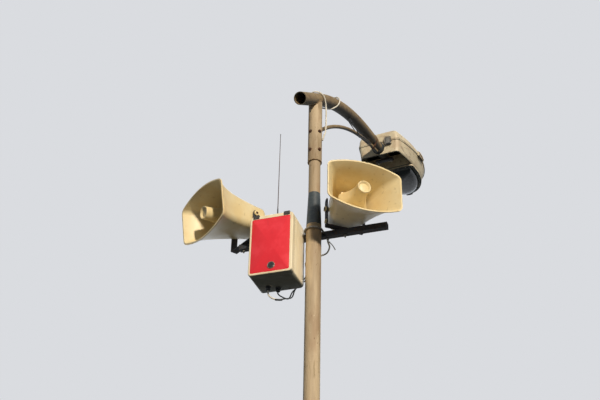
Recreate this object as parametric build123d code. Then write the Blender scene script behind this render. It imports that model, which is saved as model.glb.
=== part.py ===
from build123d import *
import math
import os

# Street-light pole that carries two warning horns, their radio receiver box and a luminaire.
# Millimetres. +Z is up, X runs along the cross bar, -Y is the side that the box door faces.
# The origin is the centre of the base flange's underside.

# Base flange
flange_side = 300.0
flange_thickness = 16.0
flange_corner = 20.0
anchor_spacing = 220.0
anchor_hole_r = 11.0
gusset_height = 120.0
gusset_reach = 82.0
gusset_thickness = 8.0
gusset_toe = 14.0

# Stepped pole
lower_od = 76.1
upper_od = 60.3
tube_wall = 4.0
lower_top = 4216.0
reducer_length = 190.0
upper_top = 4930.0

# Arm sleeve, slipped over the upper tube
sleeve_od = 73.0
sleeve_bottom = 4602.0
sleeve_wall = 4.0
set_screw_heights = (4668.0, 4785.0)
set_screw_angles = (-150.0, -20.0)
set_screw_r = 5.0
set_nut_flats = 17.0
set_nut_height = 9.0
set_head_flats = 14.0
set_head_height = 7.0
set_head_gap = 3.0

# Outreach arm: a straight tail with an open end, one long bend and a straight spigot
arm_azimuth = 6.0
arm_od = 70.0
arm_wall = 4.0
arm_start_reach = -196.0
arm_start_z = 4884.0
arm_tail_length = 300.0
arm_rise = 35.0
arm_bend_r = 1590.0
arm_end_rise = 7.0
arm_tube_after_bend = 125.0
spigot_od = 60.3
spigot_taper = 30.0
spigot_length = 190.0

# Arm brace
brace_od = 21.3
brace_wall = 2.6
brace_low_z = 4828.0
brace_rise = 46.0
brace_end_back = 20.0

# Cross bar behind the pole
bar_size = 30.0
bar_wall = 2.5
bar_left = -412.0
bar_right = 362.0
bar_top = 4202.0

# U-bolt that clamps the bar to the pole
u_bolt_d = 10.0
u_bolt_clearance = 0.4
u_bolt_tail = 22.0
washer_d = 24.0
washer_t = 2.0
nut_flats = 17.0
nut_height = 8.0

# Receiver box
box_width = 222.0
box_height = 331.0
box_depth = 182.0
box_wall = 3.5
box_bottom = 3900.0
box_right_gap = 21.5
box_corner = 9.0
cover_depth = 34.0
cover_gap = 1.0
label_margin = 11.0
label_recess = 1.0
label_t = 0.8
hinge_width = 30.0
hinge_inset = 32.0
hinge_barrel_r = 5.0
hinge_pin_r = 2.0
hinge_pin_gap = 0.05
hinge_swing_gap = 0.6
hinge_leaf = 20.0
hinge_tab = 19.0
hinge_t = 3.0
lock_r = 14.0
lock_x_share = 0.53
lock_height = 44.0
box_bolt_spacing = 150.0
box_bolt_r = 4.0
gland_r = 9.0
gland_drop = 22.0

# Whip antenna
antenna_r = 2.5
antenna_top = 4786.0
antenna_y = -53.0
antenna_x = -174.0
antenna_base_r = 11.0
antenna_base_h = 26.0

# Horns
horn_mouth_w = 380.0
horn_mouth_h = 272.0
horn_mouth_side = 188.0
horn_depth = 345.0
horn_wall = 3.5
horn_pivot_back = 262.0
horn_rim_bead = 3.0
plug_r = 34.0
plug_front = 24.0
plug_length = 62.0
reflector_r = 78.0
reflector_back = 176.0
throat_r = 26.0

# Horn brackets
bracket_half_w = 101.0
bracket_t = 3.0
bracket_strap = 36.0
bracket_leg = 160.0
bracket_holes = (98.0, 142.0)
pivot_bolt_r = 4.0
pivot_gap = 0.1
pivot_washer_r = 13.0
bolt_flats = 13.0
bolt_head_height = 4.0
bolt_nut_height = 6.5
bolt_tail = 7.0
right_horn_x = 146.0
right_horn_aim = 38.0
right_horn_tilt = 0.0
left_horn_x = -390.0
left_horn_aim = -36.0
left_horn_tilt = 9.0

# Luminaire
lamp_width = 246.0
lamp_length = 630.0
lamp_nose = 315.0
lamp_rear_corner = 16.0
lamp_rear_reach = 945.0
lamp_axis_drop = 20.0
lamp_base_depth = 92.0
lamp_cover_height = 68.0
lamp_wall = 4.0
tray_taper = 26.0
glass_drop = 22.0

# Small gap where a curved or moving piece meets its seat
seat_gap = 0.3

PARTS = {}


def keep(name, shape):
    PARTS[name] = shape


def tube(od, wall, z0, z1, x=0.0, y=0.0):
    outer = Cylinder(od / 2, z1 - z0, align=(Align.CENTER, Align.CENTER, Align.MIN))
    inner = Cylinder(od / 2 - wall, z1 - z0, align=(Align.CENTER, Align.CENTER, Align.MIN))
    return Pos(x, y, z0) * (outer - inner)


def rod(r, start, end):
    """A round bar between two points."""
    start, end = Vector(*start), Vector(*end)
    plane = Plane(origin=start, z_dir=(end - start))
    return extrude(plane * Circle(r), (end - start).length)


def hexagon(flats, height):
    return extrude(RegularPolygon(flats / math.sqrt(3), 6), height)


# Pole

def make_base():
    plate = extrude(RectangleRounded(flange_side, flange_side, flange_corner), flange_thickness)
    for sx in (-1, 1):
        for sy in (-1, 1):
            plate -= Pos(sx * anchor_spacing / 2, sy * anchor_spacing / 2, 0) * Cylinder(
                anchor_hole_r, 3 * flange_thickness)
    keep("base_flange", plate)
    root = lower_od / 2 + seat_gap
    profile = Polyline((root, 0), (root + gusset_reach, 0), (root + gusset_reach, gusset_toe),
                       (root + gusset_toe, gusset_height), (root, gusset_height), close=True)
    rib = extrude(Plane.XZ * make_face(profile), gusset_thickness / 2, both=True)
    ribs = [Rot(0, 0, angle) * Pos(0, 0, flange_thickness) * rib for angle in (0, 90, 180, 270)]
    keep("base_gussets", Compound(children=ribs))


def make_pole():
    keep("lower_pole", tube(lower_od, tube_wall, flange_thickness, lower_top))
    r0, r1 = lower_od / 2, upper_od / 2
    cone = Cone(r0, r1, reducer_length, align=(Align.CENTER, Align.CENTER, Align.MIN))
    bore = Cone(r0 - tube_wall, r1 - tube_wall, reducer_length,
                align=(Align.CENTER, Align.CENTER, Align.MIN))
    keep("pole_reducer", Pos(0, 0, lower_top) * (cone - bore))
    keep("upper_pole", tube(upper_od, tube_wall, lower_top + reducer_length, upper_top))


def arm_plane():
    """The arm's upright plane: its x runs outwards along the arm, its y runs up."""
    a = math.radians(arm_azimuth)
    return Plane(origin=(0, 0, 0), x_dir=(math.sin(a), math.cos(a), 0), z_dir=(math.cos(a), -math.sin(a), 0))


def arm_points():
    rise, end = math.radians(arm_rise), math.radians(arm_end_rise)
    p0 = (arm_start_reach, arm_start_z)
    p1 = (p0[0] + arm_tail_length * math.cos(rise), p0[1] + arm_tail_length * math.sin(rise))
    p2 = (p1[0] + arm_bend_r * (math.sin(rise) - math.sin(end)),
          p1[1] + arm_bend_r * (math.cos(end) - math.cos(rise)))
    p3 = (p2[0] + arm_tube_after_bend * math.cos(end), p2[1] + arm_tube_after_bend * math.sin(end))
    return p0, p1, p2, p3


def arm_path(p0, p1, p2, p3):
    rise = math.radians(arm_rise)
    bend = TangentArc(p1, p2, tangent=(math.cos(rise), math.sin(rise)))
    return Line(p0, p1) + bend + Line(p2, p3)


def swept_tube(path, od, wall):
    start = path @ 0
    ring = Plane(origin=start, z_dir=path % 0) * (Circle(od / 2) - Circle(od / 2 - wall))
    return sweep(ring, path=path)


def solid_sweep(path, od):
    return sweep(Plane(origin=path @ 0, z_dir=path % 0) * Circle(od / 2), path=path)


def spigot_frame():
    """Plane across the arm where the swaged spigot starts, looking outwards."""
    p3 = arm_points()[3]
    plane = arm_plane()
    end = math.radians(arm_end_rise)
    return Plane(origin=plane.from_local_coords((p3[0], p3[1], 0)),
                 x_dir=plane.z_dir,
                 z_dir=plane.x_dir * math.cos(end) + Vector(0, 0, 1) * math.sin(end))


def make_arm():
    plane = arm_plane()
    path = plane * arm_path(*arm_points())
    arm = swept_tube(path, arm_od, arm_wall)
    frame = spigot_frame()
    up = dict(align=(Align.CENTER, Align.CENTER, Align.MIN))
    taper = Cone(arm_od / 2, spigot_od / 2, spigot_taper, **up) - Cone(
        arm_od / 2 - arm_wall, spigot_od / 2 - arm_wall, spigot_taper, **up)
    spigot = Pos(0, 0, spigot_taper) * (
        Cylinder(spigot_od / 2, spigot_length, **up) - Cylinder(spigot_od / 2 - arm_wall, spigot_length, **up))
    arm += frame.location * taper
    arm += frame.location * spigot
    keep("outreach_arm", arm)
    outer = solid_sweep(path, arm_od + 2 * seat_gap)
    sleeve = tube(sleeve_od, sleeve_wall, sleeve_bottom, arm_start_z + arm_tail_length)
    top_cut = Pos(0, 0, arm_start_z + arm_tail_length) * Box(sleeve_od * 2, sleeve_od * 2, 200)
    coped = (sleeve - outer - top_cut).solids().sort_by(Axis.Z)[0]
    keep("arm_sleeve", coped)


def set_screws():
    screws = []
    for z in set_screw_heights:
        for angle in set_screw_angles:
            nut = hexagon(set_nut_flats, set_nut_height)
            head = Pos(0, 0, set_nut_height + set_head_gap) * hexagon(set_head_flats, set_head_height)
            inner = (sleeve_od - upper_od) / 2 - seat_gap
            shank = Pos(0, 0, -inner) * Cylinder(
                set_screw_r, inner + set_nut_height + set_head_gap + 1, align=(Align.CENTER, Align.CENTER, Align.MIN))
            screws.append(Rot(0, 0, angle) * Pos(sleeve_od / 2, 0, z) * Rot(0, 90, 0) * (nut + head + shank))
    return screws


def make_set_screws():
    """Screws through the sleeve that bear on the upper tube."""
    screws = set_screws()
    for screw in screws:
        PARTS["arm_sleeve"] -= screw
    keep("sleeve_set_screws", Compound(children=[screw - PARTS["upper_pole"] for screw in screws]))


def make_brace():
    """Thin curved strut from the sleeve's back up to the arm's underside near the luminaire."""
    plane = arm_plane()
    start = (sleeve_od / 2 + seat_gap, brace_low_z)
    p3 = arm_points()[3]
    end_rise = math.radians(arm_end_rise)
    touch = arm_od / 2 + brace_od / 2 + seat_gap
    end = (p3[0] - brace_end_back + touch * math.sin(end_rise),
           p3[1] - brace_end_back * math.tan(end_rise) - touch * math.cos(end_rise))
    rise = math.radians(brace_rise)
    arc = TangentArc(start, end, tangent=(math.cos(rise), math.sin(rise)))
    path = plane * (Curve() + arc)
    seat = tube(sleeve_od + 2 * seat_gap, sleeve_od / 2, sleeve_bottom, upper_top)
    keep("arm_brace", swept_tube(path, brace_od, brace_wall) - seat)


# Cross bar

def bar_mid_y():
    return lower_od / 2 + seat_gap + bar_size / 2


def make_bar():
    length = bar_right - bar_left
    section = Rectangle(bar_size, bar_size) - Rectangle(bar_size - 2 * bar_wall, bar_size - 2 * bar_wall)
    bar = Pos(bar_left, bar_mid_y(), bar_top - bar_size / 2) * extrude(Plane.YZ * section, length)
    leg = lower_od / 2 + u_bolt_clearance + u_bolt_d / 2
    for x in (-leg, leg):
        bar -= Pos(x, bar_mid_y(), bar_top - bar_size / 2) * Rot(90, 0, 0) * Cylinder(u_bolt_d / 2 + 0.5, 60)
    for x in (right_horn_x, left_horn_x):
        bar -= Pos(x, bar_mid_y(), bar_top - bar_size / 2) * Cylinder(pivot_bolt_r + 0.5, 60)
    for x in box_bolt_places():
        bar -= Pos(x, bar_mid_y(), bar_top - bar_size / 2) * Rot(90, 0, 0) * Cylinder(box_bolt_r + 0.5, 60)
    keep("cross_bar", bar)


def make_u_bolt():
    leg = lower_od / 2 + u_bolt_clearance + u_bolt_d / 2
    back = bar_mid_y() + bar_size / 2
    z = bar_top - bar_size / 2
    end_y = back + washer_t + nut_height + u_bolt_tail
    path = Line((-leg, end_y), (-leg, 0)) + ThreePointArc((-leg, 0), (0, -leg), (leg, 0)) + Line((leg, 0), (leg, end_y))
    path = Pos(0, 0, z) * path
    bolt = sweep(Plane(origin=(-leg, end_y, z), z_dir=(0, -1, 0)) * Circle(u_bolt_d / 2), path=path)
    keep("pole_u_bolt", bolt)
    nuts = []
    for x in (-leg, leg):
        ring = Circle(washer_d / 2) - Circle(u_bolt_d / 2 + seat_gap)
        washer = extrude(ring, washer_t)
        nut = extrude(RegularPolygon(nut_flats / math.sqrt(3), 6) - Circle(u_bolt_d / 2 + seat_gap), nut_height)
        stack = washer + Pos(0, 0, washer_t) * nut
        nuts.append(Pos(x, back, z) * Rot(-90, 0, 0) * stack)
    keep("u_bolt_nuts", Compound(children=nuts))


# Receiver box

def box_right():
    return -(lower_od / 2 + box_right_gap)


def box_back():
    return bar_mid_y() - bar_size / 2


def box_front():
    return box_back() - box_depth


def box_mid_x():
    return box_right() - box_width / 2


def box_bolt_places():
    return [box_mid_x() - box_bolt_spacing / 2, box_mid_x() + box_bolt_spacing / 2]


def box_slab(y0, y1, inset=0.0, corner=box_corner):
    """A rounded block of the box's outline between two y places."""
    outline = RectangleRounded(box_width - 2 * inset, box_height - 2 * inset, corner)
    plane = Plane(origin=(box_mid_x(), y1, box_bottom + box_height / 2), x_dir=(1, 0, 0), z_dir=(0, -1, 0))
    return extrude(plane * outline, y1 - y0)


def make_box():
    split = box_front() + cover_depth
    body = box_slab(split, box_back())
    body -= box_slab(split - 1, box_back() - box_wall, box_wall, box_corner - box_wall / 2)
    for x in box_bolt_places():
        body -= Pos(x, box_back(), bar_top - bar_size / 2) * Rot(90, 0, 0) * Cylinder(box_bolt_r + 0.5, 30)
    for x, y in gland_places():
        body -= Pos(x, y, box_bottom) * Cylinder(gland_r - 1.5, 20)
    body -= Pos(antenna_x, antenna_y, box_bottom + box_height) * Cylinder(5.0, 20)
    keep("receiver_box", body)

    cover = box_slab(box_front(), split - cover_gap)
    front = box_front()
    cover = fillet(cover.edges().filter_by_position(Axis.Y, front - 0.01, front + 0.01), 5.0)
    cover -= box_slab(front + box_wall, split, box_wall, box_corner - box_wall / 2)
    cover -= box_slab(front - 1, front + label_recess, label_margin, 5.0)
    lx, lz = lock_place()
    cover -= Pos(lx, front, lz) * Rot(90, 0, 0) * Cylinder(lock_r - 3, 30)
    keep("box_cover", cover)
    label = box_slab(front + label_recess - label_t, front + label_recess, label_margin + 0.4, 4.6)
    label -= Pos(lx, front, lz) * Rot(90, 0, 0) * Cylinder(lock_r + 0.4, 30)
    keep("cover_label", label)


def lock_place():
    return box_mid_x() - box_width / 2 + lock_x_share * box_width, box_bottom + lock_height


def make_lock():
    lx, lz = lock_place()
    front = box_front()
    up = dict(align=(Align.CENTER, Align.CENTER, Align.MIN))
    ring = Cylinder(lock_r, 4, **up) - Pos(0, 0, 2) * Cylinder(lock_r - 4.5, 4, **up)
    stem = Pos(0, 0, -16) * Cylinder(lock_r - 3 - seat_gap, 17, **up)
    lock = ring + stem
    cam = Pos(0, -9, -20) * Box(12, 34, 3.6)
    lock += cam + Pos(0, 0, -19) * Cylinder(6, 5, **up)
    keep("cover_lock", Pos(lx, front + label_recess, lz) * Rot(90, 0, 0) * lock)


def hinge_axis():
    """Middle of the hinge pins, just above and behind the cover's top edge."""
    return box_front() + cover_depth - cover_gap / 2, box_bottom + box_height + hinge_barrel_r


def make_hinges():
    y, z = hinge_axis()
    third = hinge_width / 3
    reach = hinge_barrel_r + hinge_swing_gap
    knuckle = Rot(0, 90, 0) * (Cylinder(hinge_barrel_r, third - hinge_swing_gap)
                               - Cylinder(hinge_pin_r + hinge_pin_gap, third))
    plate_low = dict(align=(Align.CENTER, Align.MIN, Align.MIN))
    fixed_plate = Pos(0, reach, -hinge_barrel_r) * Box(hinge_width, hinge_leaf, hinge_t, **plate_low)
    fixed = fixed_plate + Rot(0, 90, 0) * Cylinder(hinge_pin_r, hinge_width)
    moving = Pos(0, 0, -hinge_barrel_r) * mirror(Box(hinge_width, cover_strap(), hinge_t, **plate_low), Plane.XZ)
    moving -= Pos(0, 0, -hinge_barrel_r) * Box(2 * hinge_width, 2 * reach, 3 * hinge_barrel_r)
    tab = Box(hinge_width, hinge_t, hinge_tab, align=(Align.CENTER, Align.MAX, Align.MAX))
    moving += Pos(0, -cover_strap() + hinge_t, -hinge_barrel_r + hinge_t) * tab
    tongue = Box(third - hinge_swing_gap, reach + 1, hinge_t, **plate_low)
    bore = Rot(0, 90, 0) * Cylinder(hinge_pin_r + hinge_pin_gap, third)
    for side in (-1, 1):
        at = Pos(side * third, 0, 0)
        fixed += at * (Pos(0, 0, -hinge_barrel_r) * tongue - bore) + at * knuckle_on_pin(third)
    moving += mirror(Pos(0, 0, -hinge_barrel_r) * tongue, Plane.XZ) - bore
    moving += knuckle
    places = [box_mid_x() + side * (box_width / 2 - hinge_inset) for side in (-1, 1)]
    keep("hinge_leaves_fixed", Compound(children=[Pos(x, y, z) * fixed for x in places]))
    keep("hinge_leaves_moving", Compound(children=[Pos(x, y, z) * moving for x in places]))


def knuckle_on_pin(third):
    """An outer knuckle, gripping the pin."""
    return Rot(0, 90, 0) * Cylinder(hinge_barrel_r, third - hinge_swing_gap)


def cover_strap():
    """Length of the strap from the pin to the outside of the tab on the cover's face."""
    return cover_depth - cover_gap / 2 + hinge_t + seat_gap


def gland_places():
    x = box_mid_x()
    return [(x - 30.0, box_back() - 40.0), (x + 15.0, box_back() - 40.0), (x + 60.0, box_back() - 40.0)]


def make_glands():
    glands = []
    up = dict(align=(Align.CENTER, Align.CENTER, Align.MAX))
    for x, y in gland_places():
        body = Cylinder(gland_r, gland_drop, **up)
        body = body + hexagon_down(2 * gland_r + 5, 6)
        body += Cylinder(gland_r - 1.8, box_wall + 6, align=(Align.CENTER, Align.CENTER, Align.MIN))
        body += Pos(0, 0, box_wall + seat_gap) * Cylinder(gland_r + 2, 4, align=(Align.CENTER, Align.CENTER, Align.MIN))
        glands.append(Pos(x, y, box_bottom) * body)
    keep("cable_glands", Compound(children=glands))


def hexagon_down(flats, height):
    return Pos(0, 0, -height) * hexagon(flats, height)


def make_box_bolts():
    bolts = []
    back = bar_mid_y() + bar_size / 2
    inner = box_back() - box_wall
    for x in box_bolt_places():
        z = bar_top - bar_size / 2
        shank = rod(box_bolt_r, (x, inner - 1, z), (x, back + 12, z))
        head = Pos(x, inner, z) * Rot(90, 0, 0) * hexagon(13, 5)
        nut = Pos(x, back, z) * Rot(-90, 0, 0) * hexagon(13, 6.5)
        bolts.append(shank + head + nut)
    keep("box_bolts", Compound(children=bolts))


def make_antenna():
    top = box_bottom + box_height
    up = dict(align=(Align.CENTER, Align.CENTER, Align.MIN))
    base = Cylinder(antenna_base_r, antenna_base_h, **up)
    base = chamfer(base.edges().group_by(Axis.Z)[-1], 4)
    base += Pos(0, 0, -box_wall - 5) * Cylinder(5.0 - seat_gap, box_wall + 6, **up)
    base += Pos(0, 0, -box_wall - seat_gap - 5) * Cylinder(8.0, 5, **up)
    keep("antenna_base", Pos(antenna_x, antenna_y, top) * base)
    whip_z0 = top + antenna_base_h
    keep("antenna_whip", Pos(antenna_x, antenna_y, whip_z0) * Cone(
        antenna_r, antenna_r * 0.6, antenna_top - whip_z0, **up))


# Horns. Each is built facing -Y with its tilt axis through the origin, then aimed and placed.

def horn_outline(half_w, half_h, half_side, corner, y):
    """Mouth outline: straight sides, gently bowed top and bottom, round corners."""
    plane = Plane(origin=(0, y, 0), x_dir=(1, 0, 0), z_dir=(0, -1, 0))
    top = ThreePointArc((-half_w, half_side), (0, half_h), (half_w, half_side))
    right = Line((half_w, half_side), (half_w, -half_side))
    bottom = ThreePointArc((half_w, -half_side), (0, -half_h), (-half_w, -half_side))
    left = Line((-half_w, -half_side), (-half_w, half_side))
    face = make_face([top, right, bottom, left])
    face = fillet(face.vertices(), corner)
    return plane * face


def horn_stations():
    """Distance behind the mouth, half width, half height at the middle and at the side, corner."""
    w, h, s = horn_mouth_w / 2, horn_mouth_h / 2, horn_mouth_side / 2
    return [
        (0.0, w, h, s, 30.0),
        (40.0, w * 0.85, h * 0.87, s * 0.90, 32.0),
        (100.0, w * 0.695, h * 0.745, s * 0.82, 36.0),
        (180.0, w * 0.565, h * 0.645, s * 0.76, 40.0),
        (262.0, w * 0.46, h * 0.585, s * 0.70, 42.0),
        (320.0, w * 0.40, h * 0.545, s * 0.65, 42.0),
    ]


def horn_loft(offset, last):
    faces = []
    for back, w, h, s, r in horn_stations()[:last]:
        faces.append(horn_outline(w - offset, h - offset, s - offset, r - offset, back - horn_pivot_back))
    return loft(faces)


def make_horn_parts():
    n = len(horn_stations())
    bell = horn_loft(0.0, n) - horn_loft(horn_wall, n - 1)
    w, h, s = horn_mouth_w / 2, horn_mouth_h / 2, horn_mouth_side / 2
    mouth = -horn_pivot_back
    outer = horn_outline(w + horn_rim_bead, h + horn_rim_bead, s + horn_rim_bead, 30 + horn_rim_bead, mouth + 6)
    inner = horn_outline(w - horn_wall, h - horn_wall, s - horn_wall, 30 - horn_wall, mouth + 6)
    bead = extrude(outer - inner, 6)
    bell = bell + bead
    throat_y = horn_stations()[-2][0] - horn_pivot_back
    bell -= Pos(0, throat_y, 0) * Rot(90, 0, 0) * Cylinder(throat_r - 6, 200)
    # reflector: plug, flared cone and the tube that carries it from the throat
    a0 = mouth + plug_front
    a1 = a0 + plug_length
    a2 = mouth + reflector_back
    prof = make_face([
        Line((0, a0), (plug_r - 4, a0)),
        ThreePointArc((plug_r - 4, a0), (plug_r - 1.2, a0 + 1.2), (plug_r, a0 + 4)),
        Line((plug_r, a0 + 4), (plug_r, a1)),
        ThreePointArc((plug_r, a1), ((plug_r + reflector_r) / 2 - 7, (a1 + a2) / 2 + 4), (reflector_r, a2)),
        Line((reflector_r, a2), (reflector_r - 4, a2)),
        Line((reflector_r - 4, a2), (throat_r, a2 - 40)),
        Line((throat_r, a2 - 40), (throat_r, throat_y)),
        Line((throat_r, throat_y), (0, throat_y)),
        Line((0, throat_y), (0, a0)),
    ])
    reflector = revolve(prof, Axis.Y)
    # rear cover
    end = horn_stations()[-1]
    y_end = end[0] - horn_pivot_back
    cap = loft([
        horn_outline(end[1], end[2], end[3], end[4], y_end),
        horn_outline(end[1] * 0.95, end[2] * 0.95, end[3] * 0.93, 40.0, horn_depth - 10 - horn_pivot_back),
        horn_outline(end[1] * 0.82, end[2] * 0.84, end[3] * 0.80, 34.0, horn_depth - horn_pivot_back),
    ])
    return bell, reflector, cap


def horn_pose(x, aim, tilt, hole):
    return Pos(x, bar_mid_y(), bar_top + seat_gap + hole) * Rot(0, 0, aim) * Rot(tilt, 0, 0)


def make_bracket():
    """U-shaped strap, built with its base underside at z 0 and its centre bolt on the z axis."""
    w, t = bracket_half_w, bracket_t
    outer = Polyline((-w, bracket_leg), (-w, 0), (w, 0), (w, bracket_leg), (w - t, bracket_leg), (w - t, t),
                     (-w + t, t), (-w + t, bracket_leg), close=True)
    face = make_face(outer)
    strap = extrude(Plane.XZ * face, bracket_strap / 2, both=True)
    corners = strap.edges().filter_by(Axis.Y).filter_by_position(Axis.Z, -0.1, 0.1)
    strap = fillet(corners, 5.0)
    tops = strap.edges().filter_by(Axis.X).filter_by_position(Axis.Z, bracket_leg - 0.1, bracket_leg + 0.1)
    strap = fillet(tops, bracket_strap / 2 - 1)
    for hole in bracket_holes:
        strap -= Pos(0, 0, hole) * Rot(0, 90, 0) * Cylinder(pivot_bolt_r + pivot_gap, 3 * w)
    strap -= Cylinder(pivot_bolt_r + pivot_gap, 20)
    return strap


def make_pivot_bolts(half_body):
    """Side bolts: a boss washer on the horn's flank, shank through the strap, head outside."""
    bolts = []
    for s in (-1, 1):
        inner = half_body - 6
        shank = rod(pivot_bolt_r, (s * inner, 0, 0), (s * (bracket_half_w + 9), 0, 0))
        spacer = rod(pivot_washer_r - 3, (s * inner, 0, 0), (s * (bracket_half_w - bracket_t - seat_gap), 0, 0))
        knob = rod(pivot_washer_r, (s * (bracket_half_w + seat_gap), 0, 0), (s * (bracket_half_w + 9), 0, 0))
        bolts.append(shank + spacer + knob)
    return bolts


def make_horns():
    bell, reflector, cap = make_horn_parts()
    bracket = make_bracket()
    half_body = horn_mouth_w / 2 * 0.46
    bolts = make_pivot_bolts(half_body)
    for bolt in bolts:
        bell -= bolt
    sets = (
        ("right", right_horn_x, right_horn_aim, right_horn_tilt, bracket_holes[0]),
        ("left", left_horn_x, left_horn_aim, left_horn_tilt, bracket_holes[1]),
    )
    for side, x, aim, tilt, hole in sets:
        pose = horn_pose(x, aim, tilt, hole)
        keep(side + "_horn_bell", pose * bell)
        keep(side + "_horn_reflector", pose * reflector)
        keep(side + "_horn_driver", pose * cap)
        keep(side + "_horn_pivots", Compound(children=[pose * b for b in bolts]))
        base = Pos(x, bar_mid_y(), bar_top) * Rot(0, 0, aim)
        keep(side + "_horn_bracket", base * Pos(0, 0, seat_gap) * bracket)
        under_head = bracket_t + 2 * seat_gap
        bolt = rod(pivot_bolt_r, (0, 0, -bar_size - bolt_nut_height - bolt_tail), (0, 0, under_head + 1))
        bolt += Pos(0, 0, under_head) * hexagon(bolt_flats, bolt_head_height)
        bolt += Pos(0, 0, -bar_size - bolt_nut_height) * hexagon(bolt_flats, bolt_nut_height)
        keep(side + "_bracket_bolt", base * bolt)


# Luminaire. Built along its own axis: +Z of its frame points outwards, its x is up, its y is sideways.

def lamp_frame():
    """Frame at the rear face on the split line: x outwards, y to the object's left, z up."""
    p3 = arm_points()[3]
    end = math.radians(arm_end_rise)
    reach = lamp_rear_reach
    z = p3[1] + (reach - p3[0]) * math.tan(end) + lamp_axis_drop
    plane = arm_plane()
    out = plane.x_dir * math.cos(end) + Vector(0, 0, 1) * math.sin(end)
    up = Vector(0, 0, 1) * math.cos(end) - plane.x_dir * math.sin(end)
    origin = plane.from_local_coords((reach, z, 0))
    return Plane(origin=origin, x_dir=out, z_dir=up)


def lamp_outline(inset=0.0, shorter=0.0):
    """Plan outline of the luminaire: a square rear with round corners and a half-ellipse nose."""
    half = lamp_width / 2 - inset
    turn = lamp_length - lamp_nose
    front = lamp_nose - inset - shorter
    nose = EllipticalCenterArc((turn, 0), front, half, start_angle=-90, arc_size=180)
    edges = [nose, Line((turn, half), (inset, half)), Line((inset, half), (inset, -half)),
             Line((inset, -half), (turn, -half))]
    face = make_face(edges)
    rear = face.vertices().group_by(Axis.X)[0]
    return fillet(rear, lamp_rear_corner)


def lamp_section(inset, shorter, height):
    return lamp_outline(inset, shorter).moved(Location((0, 0, height)))


def make_lamp():
    frame = lamp_frame()
    wall = lamp_wall
    tray = loft([lamp_section(tray_taper, 30.0, -lamp_base_depth), lamp_section(0.0, 0.0, 0.0)])
    tray -= loft([lamp_section(tray_taper + wall, 30.0, -lamp_base_depth + wall), lamp_section(wall, 0.0, 1.0)])
    cover = loft([lamp_section(0.0, 0.0, seat_gap), lamp_section(10.0, 20.0, lamp_cover_height * 0.55),
                  lamp_section(48.0, 110.0, lamp_cover_height)])
    cover -= loft([lamp_section(wall, 0.0, seat_gap - 1), lamp_section(10.0 + wall, 20.0, lamp_cover_height * 0.55),
                   lamp_section(48.0 + wall, 110.0, lamp_cover_height - wall)])
    socket = spigot_frame().location * Cylinder(
        spigot_od / 2 + seat_gap, spigot_taper + spigot_length + seat_gap,
        align=(Align.CENTER, Align.CENTER, Align.MIN))
    keep("lamp_housing", frame.location * tray - socket)
    keep("lamp_cover", frame.location * cover - socket)
    glass = loft([lamp_section(60.0, 60.0, -lamp_base_depth - glass_drop),
                  lamp_section(34.0, 40.0, -lamp_base_depth - seat_gap)])
    keep("lamp_glass", frame.location * glass)


make_base()
make_pole()
make_arm()
make_set_screws()
make_brace()
make_bar()
make_u_bolt()
make_box()
make_lock()
make_hinges()
make_glands()
make_box_bolts()
make_antenna()
make_horns()
make_lamp()

os.makedirs("parts", exist_ok=True)
for name, shape in PARTS.items():
    export_step(shape, "parts/" + name + ".step")
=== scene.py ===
from math import acos, cos, pi, radians, sin, sqrt, tan

import bmesh
import bpy
import numpy as np
from bpy.props import FloatProperty, FloatVectorProperty, PointerProperty
from mathutils import Matrix, Vector


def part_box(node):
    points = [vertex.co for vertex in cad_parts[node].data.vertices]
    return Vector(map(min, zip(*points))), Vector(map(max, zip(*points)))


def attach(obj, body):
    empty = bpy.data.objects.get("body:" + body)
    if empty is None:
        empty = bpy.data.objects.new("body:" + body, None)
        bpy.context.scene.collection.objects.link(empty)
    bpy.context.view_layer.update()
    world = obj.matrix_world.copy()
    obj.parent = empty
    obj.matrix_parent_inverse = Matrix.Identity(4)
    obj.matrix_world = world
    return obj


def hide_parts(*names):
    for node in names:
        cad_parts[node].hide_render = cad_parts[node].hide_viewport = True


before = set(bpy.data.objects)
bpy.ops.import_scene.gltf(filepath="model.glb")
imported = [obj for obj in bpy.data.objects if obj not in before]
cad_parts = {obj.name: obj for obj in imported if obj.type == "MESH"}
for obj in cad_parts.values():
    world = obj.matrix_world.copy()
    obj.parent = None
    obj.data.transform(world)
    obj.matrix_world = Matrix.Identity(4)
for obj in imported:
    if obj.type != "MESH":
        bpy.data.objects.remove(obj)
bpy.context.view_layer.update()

bl_info = {
    "name": "Warning horn pole",
    "version": (1, 0, 0),
    "blender": (4, 5, 0),
    "location": "View3D > Sidebar > Horn Pole",
    "description": "Dresses a street-light pole that carries two warning horns and a receiver box",
    "category": "Add Mesh",
}

MM = 0.001
TURN = 2 * pi


# Colour and shader helpers

def linear(code):
    """An sRGB hex colour as linear light with an alpha of 1."""
    parts = [int(code[i:i + 2], 16) / 255 for i in (1, 3, 5)]
    return tuple(c / 12.92 if c <= 0.04045 else ((c + 0.055) / 1.055) ** 2.4 for c in parts) + (1.0,)


def add(tree, kind, inputs=None, **props):
    """Adds a node, sets its properties, and sets or links its sockets: a socket as value is a link."""
    node = tree.nodes.new(kind)
    for name, value in props.items():
        setattr(node, name, value)
    for name, value in (inputs or {}).items():
        if isinstance(value, bpy.types.NodeSocket):
            tree.links.new(value, node.inputs[name])
        else:
            node.inputs[name].default_value = value
    return node


def maths(tree, operation, first, second):
    """The output of a math node on two values or sockets."""
    return add(tree, "ShaderNodeMath", {0: first, 1: second}, operation=operation).outputs[0]


def fade(tree, value, low, high, top=1.0):
    """A value's smooth rise from 0 to top as it goes from low to high."""
    return add(tree, "ShaderNodeMapRange", {"Value": value, "From Min": low, "From Max": high, "To Max": top},
               interpolation_type="SMOOTHSTEP").outputs["Result"]


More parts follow.
